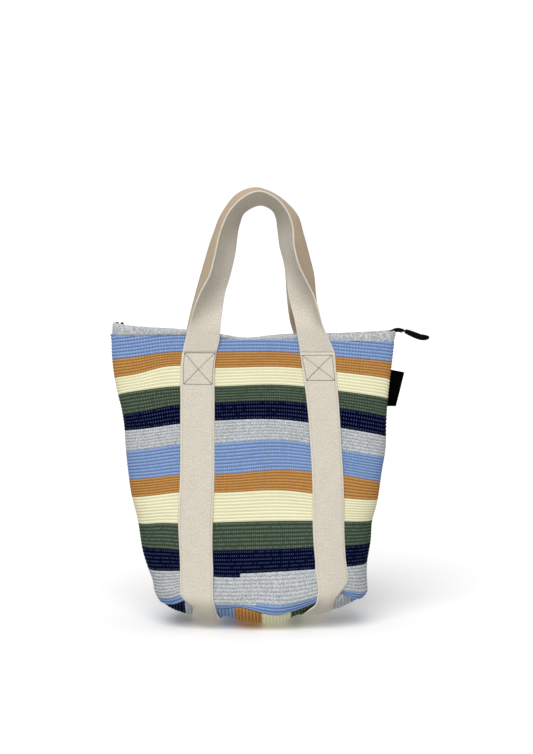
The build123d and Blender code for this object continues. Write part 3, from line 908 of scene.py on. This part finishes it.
def straps():
    """Front, rear and base stretch of both straps. Gives back the surfaces that the stitches lie on."""
    surfaces = {}
    for name in STRAP_LINES:
        whole = strap_rows(name)
        below = np.where(whole[:, STRAP_COLUMNS // 2, 2] < STRAP_SPLIT_Z[name])[0]
        first, last = below[0], below[-1]
        surfaces["front", name] = whole[:first + 1][::-1]
        surfaces["rear", name] = whole[last:, ::-1]
        for half, side in HALVES:
            piece = webbing_piece(surfaces[half, name], f"{half}_{name}_webbing")
            stand_for(piece, "cotton_webbing", f"{half}_{name}_strap")
            follow_wall(piece)
        piece = webbing_piece(whole[first:last + 1][::-1], f"{name}_base_webbing")
        stand_for(piece, "cotton_webbing", f"{name}_base_strap")
        stay_on_base(piece)
    return surfaces


def grid_place(surface, across, z):
    """Fractional row and column of a place on a strap."""
    heights = surface[:, STRAP_COLUMNS // 2, 2]
    order = np.argsort(heights)
    row = np.interp(z, heights[order], order.astype(float))
    share = across / WEBBING_WIDTH + 0.5
    share = 1 - share if surface[0, 0, 0] > surface[0, -1, 0] else share
    return row, share * (STRAP_COLUMNS - 1)


def row_of_stitches(surface, start, end):
    """Places and directions of the stitches between two (across, height) points."""
    count = max(2, round(math.dist(start, end) / STITCH_PITCH))
    places = []
    for i in range(count):
        share = (i + 0.5) / count
        here, there = (
            grid_place(surface, *(a + (b - a) * min(1.0, s) for a, b in zip(start, end)))
            for s in (share, share + 0.01)
        )
        places.append((here, sample(surface, *there) - sample(surface, *here)))
    return places


def stitching(surfaces):
    """The boxes at the handles' feet, and the rows along the straps' edges."""
    for half, side in HALVES:
        boxes, edges = Cloth(), Cloth()
        for name, corners in BOXES.items():
            surface = surfaces[half, name]
            rows = [(corners[i], corners[(i + 1) % 4]) for i in range(4)]
            rows += [(corners[0], corners[2]), (corners[1], corners[3])]
            for start, end in rows:
                boxes.stitches(surface, row_of_stitches(surface, start, end), 0.0025, 0.0008, WEBBING / 2)
            top = min(z for _, z in corners)
            for across in (-EDGE_STITCH_X, EDGE_STITCH_X):
                places = row_of_stitches(surface, (across, EDGE_STITCH_FOOT), (across, top))
                edges.stitches(surface, places, 0.0021, 0.0007, WEBBING / 2)
        for cloth, kind, thread in ((boxes, "cross", BOX_THREAD), (edges, "edge", EDGE_THREAD)):
            piece = cloth.make(f"{half}_{kind}_thread", [thread])
            stand_for(piece, "stitching", f"{half}_{kind}_stitches")
            follow_wall(piece)


# ---- handles --------------------
def handle_grid(stations, side):
    """The loop's middle surface. The webbing is cupped: its outer edge turns towards the loop's other
    half, the more the narrower the loop looks from the front."""
    edges = resample(stations, 150)
    outer, inner = edges[:, :2], edges[:, 2:]
    seen = np.linalg.norm(outer - inner, axis=1) / WEBBING_WIDTH
    cupping = np.linspace(1.0, 0.005, 400)
    outer_turns = 1.48 * np.minimum(1.0, 2 * cupping)
    inner_turns = 1.40 * np.maximum(0.0, 2 * cupping - 1)
    widths = (np.sin(outer_turns) - np.sin(inner_turns)) / (outer_turns - inner_turns)
    first = np.interp(seen, widths, outer_turns)[:, None]
    last = np.interp(seen, widths, inner_turns)[:, None]
    turn = first + (last - first) * np.linspace(0.0, 1.0, STRAP_COLUMNS)[None]
    place = (np.sin(first) - np.sin(turn)) / (np.sin(first) - np.sin(last))
    depth = WEBBING_WIDTH * (np.cos(turn) - np.cos(first)) / (first - last)
    height = (outer[:, 1] + inner[:, 1]) / 2
    depth = (depth - depth[:, -1:] / 2) * smooth_step((height - CLEAR_Z) / 0.045)[:, None]
    flat = outer[:, None] + (inner - outer)[:, None] * place[..., None]
    return np.stack([flat[..., 0], side * (HANDLE_MIDDLE_Y - depth), flat[..., 1]], axis=-1)


def handles():
    for half, side in HALVES:
        grid = handle_grid(LOOPS[half], side)[:, ::-side]
        # the rear loop takes the darker copy of the webbing, which is painted shade
        piece = webbing_piece(grid, f"{half}_handle_webbing", half)
        stand_for(piece, "cotton_webbing", f"{half}_handle")
        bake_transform(piece)


# ---- facings and zip --------------------
def top_facing(half, side):
    """The heather strip that stands above the rim and turns down to the zip facing."""
    rim = smooth_curve(ACROSS, RIM)
    top = smooth_curve(ACROSS, FACING_TOPS[half])
    parting = smooth_step((np.abs(wall_line(FACING_FOOT_Z, side, 0.0)[:, 1]) - 0.004) / 0.010)
    top = np.where(ACROSS > 0.8, CLOSED_END_Z + (top - CLOSED_END_Z) * parting, top)
    outer, inner = (wall_line(FACING_FOOT_Z, side, inset) for inset in FACING_INSETS)
    section = (
        (0.0, rim - 0.0035), (0.0, rim + 0.0005), (0.05, (rim + top) / 2), (0.12, top - 0.0012), (0.4, top),
        (0.8, top - 0.0008), (1.0, top - 0.004), (1.0, np.minimum(top - 0.006, 0.403)),
    )
    rows = []
    for share, level in section:
        x, y = (outer * (1 - share) + inner * share).T
        pull = FACING_PULL * smooth_step((ACROSS - 0.85) / 0.15) * np.clip((level - rim) / 0.010, 0.0, 1.0)
        rows.append(np.stack([x + pull, y, level], axis=-1))
    grid = np.array(rows)[::-side]
    run = np.linspace(0.0, 0.022, len(rows))[:, None]
    piece = strip(f"{half}_standing_facing", HEATHER, grid, 0.0012, WARP[None], run)
    stand_for(piece, "grey_heather", f"{half}_top_facing")
    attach(piece, "root")


def zip_strip(name, material, x, side, edges, thickness, drop=0.0):
    """A flat strip beside the zip. edges are its distances from the zip's middle line."""
    y = np.linspace(edges[1], edges[0], 6)
    grid = np.zeros((len(y), len(x), 3))
    grid[..., 0] = x[None]
    grid[..., 1] = side * y[:, None]
    grid[..., 2] = smooth_curve(x, ZIP_LINE)[None] - drop
    run = np.linspace(0.0, edges[1] - edges[0], len(y))[:, None]
    return strip(name, material, grid[::-side], thickness, x[None], run)


def zip_teeth(name, x_start, x_end, side):
    """The teeth of one side, each a small arch of wire that reaches past the zip's middle."""
    cloth = Cloth()
    wide = np.array([1.0, 0.0, 0.0])
    turns = np.arange(6) * math.pi / 3
    shift = 0.0 if side < 0 else COIL_PITCH / 2
    for x in np.arange(x_start + shift, x_end, COIL_PITCH):
        z = float(smooth_curve(x, ZIP_LINE))
        arch = np.array([(x, side * y, z + rise) for y, rise in TOOTH])
        across = np.cross(unit(np.gradient(arch, axis=0)), wide)
        ring = [arch + COIL_WIRE * (math.cos(t) * wide + math.sin(t) * across) for t in turns]
        cloth.grid(np.array(ring).transpose(1, 0, 2), 0.0, x, loop_columns=True)
    return cloth.make(name, [COIL_PLASTIC])


def zip_sides():
    """Facing, tape and teeth of each quarter of the zip, split at its middle."""
    for half, side in HALVES:
        for end, sign, tape_end in (("left", -1, -ZIP_HALF_LENGTH), ("right", 1, ZIP_SLIDER_END)):
            name = f"{half}_{end}_zip"
            x = np.sort(np.linspace(0.0, sign * ZIP_HALF_LENGTH, 60))
            facing = zip_strip(f"{name}_facing", HEATHER, x, side, (FACING_INNER_Y, FACING_OUTER_Y), 0.0016)
            x = np.sort(np.linspace(0.0, tape_end, 60))
            edges = (TAPE_INNER_Y, FACING_INNER_Y + 0.001)
            tape = zip_strip(f"{name}_tape", TAPE_FABRIC, x, side, edges, 0.0009, 0.0008)
            teeth = zip_teeth(f"{name}_teeth", x[0], x[-1], side)
            stand_for(facing, "grey_heather", f"{half}_zip_facing")
            stand_for(tape, "zip_tape", f"{half}_zip_tape")
            stand_for(teeth, "zip_tape", f"{half}_zip_coil")
            start, end = (sign * 0.185, 0, 0), (sign * 0.10, 0, 0)
            for piece in (facing, tape, teeth):
                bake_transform(piece)


def mouth_ends():
    """Heather cloth that closes the mouth beyond each end of the zip."""
    for name, sign in (("left", -1), ("right", 1)):
        x = np.sort(np.linspace(sign * (ZIP_HALF_LENGTH - 0.006), sign * 0.1925, 14))[None]
        y = np.linspace(-0.0195, 0.0195, 15)[:, None]
        edge = smooth_step((np.abs(x) - 0.186) / 0.007)
        level = 0.4015 - 0.0020 * edge - 0.02 * np.maximum(np.abs(x) - ZIP_HALF_LENGTH, 0.0)
        grid = np.stack(np.broadcast_arrays(x, y * (1 - 0.45 * edge), level), axis=-1)
        piece = strip(f"{name}_mouth_end", HEATHER, grid, 0.0016, x, y)
        stand_for(piece, "grey_heather", f"{name}_zip_end")
        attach(piece, "root")


def cut_tape_ends():
    """The two ends of tape that stand out of the left end of the mouth."""
    cloth = Cloth()
    level = np.linspace(0.4050, 0.4275, 8)[:, None]
    across = np.linspace(-0.0017, 0.0017, 5)[None]
    for x, side in CUT_ENDS:
        y = side * 0.0040 + 0.0003 * np.sin(across * 900)
        grid = np.stack(np.broadcast_arrays(x + across - 0.06 * (level - 0.405), y, level), axis=-1)
        cloth.slab(grid, 0.0011, across, level)
    piece = cloth.make("cut_tape_ends", [TAPE_FABRIC])
    stand_for(piece, "zip_tape", "zip_tape_ends")
    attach(piece, "root")


def lofted(name, material, sections, up, power):
    """A closed solid through rounded sections, each given by its middle, half height and half thickness."""
    side = np.array([0.0, 1.0, 0.0])
    angles = np.linspace(0.0, 2 * math.pi, 25)[:-1]
    cos, sin = np.cos(angles), np.sin(angles)
    radius = superellipse(cos, sin, power)
    rings = np.array([
        middle + np.outer(radius * cos * thick, side) + np.outer(radius * sin * tall, up)
        for middle, tall, thick in sections
    ])
    cloth = Cloth()
    cloth.tube(rings, angles[None] * 0.003, np.arange(len(rings))[:, None] * 0.003)
    piece = cloth.make(name, [material])
    smoothing = piece.modifiers.new("soften", "SUBSURF")
    smoothing.levels = smoothing.render_levels = 2
    return piece


def puller():
    """The sleeve on the ring, a cord cover with a rounded cap, and the arched tab that holds the ring."""
    along = np.array([math.cos(SLEEVE_DROOP), 0.0, -math.sin(SLEEVE_DROOP)])
    up = np.array([math.sin(SLEEVE_DROOP), 0.0, math.cos(SLEEVE_DROOP)])
    sections = [(np.array(RING) + along * distance + up * rise, tall, thick)
                for distance, rise, tall, thick in SLEEVE_OUTLINE]
    sleeve = lofted("puller_cover", SLEEVE, sections, up, 2.6)
    stand_for(sleeve, "puller_sleeve", "puller_sleeve")
    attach(sleeve, "puller")
    sections = [(np.array([x, 0.0, z]), tall, thick) for x, z, tall, thick in TAB_OUTLINE]
    tab = lofted("arched_tab", BLACK_METAL, sections, (0.0, 0.0, 1.0), 3.0)
    stand_for(tab, "black_metal", "pull_tab")
    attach(tab, "pull_tab")


def label():
    """A plain black folded tape in the side seam."""
    z = np.linspace(LABEL_BOTTOM, LABEL_TOP, 26)[:, None]
    share = np.linspace(0.0, 1.0, 10)[None]
    rise = (z - LABEL_BOTTOM) / (LABEL_TOP - LABEL_BOTTOM)
    start = half_width(z) + lean(z) + smooth_curve(z, RIGHT_SWELL) - 0.0008
    across = (LABEL_EDGE_X + LABEL_SLANT * rise - start) * share
    y = 0.0006 * np.sin(z / 0.009) * share ** 2
    grid = np.stack([start + across, y, z - LABEL_DROOP * share * rise], axis=-1)
    piece = strip("side_tape_label", LABEL_FABRIC, grid, 0.0014, across, z)
    stand_for(piece, "label_tape", "side_label")
    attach(piece, "label")


def paint_hardware():
    """Finishes of the CAD parts that stay in view."""
    finishes = {"zip_slider": BLACK_METAL, "puller_ring": RING_METAL, "left_zip_stop": BLACK_METAL}
    for node, material in finishes.items():
        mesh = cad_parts[node].data
        mesh.materials.clear()
        mesh.materials.append(material)


# ---- studio --------------------
def link(name, data):
    made = bpy.data.objects.new(name, data)
    bpy.context.scene.collection.objects.link(made)
    return made


def camera():
    data = bpy.data.cameras.new("camera")
    data.lens = 55.0
    data.sensor_width = 36.0
    made = link("camera", data)
    made.location = (0.016, -1.65, 0.349)
    made.rotation_euler = (math.pi / 2, 0.0, 0.0)
    bpy.context.scene.camera = made


def key_light():
    """A broad soft light from far away, above and in front of the bag."""
    data = bpy.data.lights.new("key", "SUN")
    data.energy = 2.2
    data.angle = math.radians(45.0)
    made = link("key", data)
    made.rotation_mode = "QUATERNION"
    made.rotation_quaternion = Vector((-0.14, -0.68, 0.72)).to_track_quat("Z", "Y")


def floor():
    """A pale seamless floor that sweeps up behind the bag."""
    reach, bend_start, bend, top, bend_steps = 14.0, 1.2, 0.8, 5.0, 8
    profile = [(-reach, 0.0), (bend_start, 0.0)]
    for i in range(1, bend_steps + 1):
        turn = math.pi / 2 * i / bend_steps
        profile.append((bend_start + bend * math.sin(turn), bend * (1 - math.cos(turn))))
    profile.append((bend_start + bend, top))
    cloth = Cloth()
    cloth.grid(np.array([[(x, y, z) for x in (-reach, reach)] for y, z in profile]), 0.0, 0.0)
    paint = Paint("floor")
    tone = paint.noise(paint.position(), 3.0) * 0.02 + 0.98
    paint.put(paint.shade(linear((255, 255, 255)), tone), paint.shader.inputs["Base Color"])
    made = cloth.make("floor", [paint.material])
    made.visible_diffuse = False


def studio():
    world = bpy.data.worlds.new("studio")
    world.use_nodes = True
    background = world.node_tree.nodes["Background"]
    background.inputs["Color"].default_value = (1.0, 1.0, 1.0, 1.0)
    background.inputs["Strength"].default_value = 0.55
    bpy.context.scene.world = world
    bpy.context.scene.view_settings.view_transform = "Standard"
    floor()
    key_light()


# ---- build --------------------
camera()
studio()
striped_half("front", -1, "front_panel", "left_side_panel")
striped_half("rear", 1, "rear_panel", "right_side_panel")
top_band()
base()
stitching(straps())
handles()
for half, side in HALVES:
    top_facing(half, side)
zip_sides()
mouth_ends()
cut_tape_ends()
puller()
label()
paint_hardware()
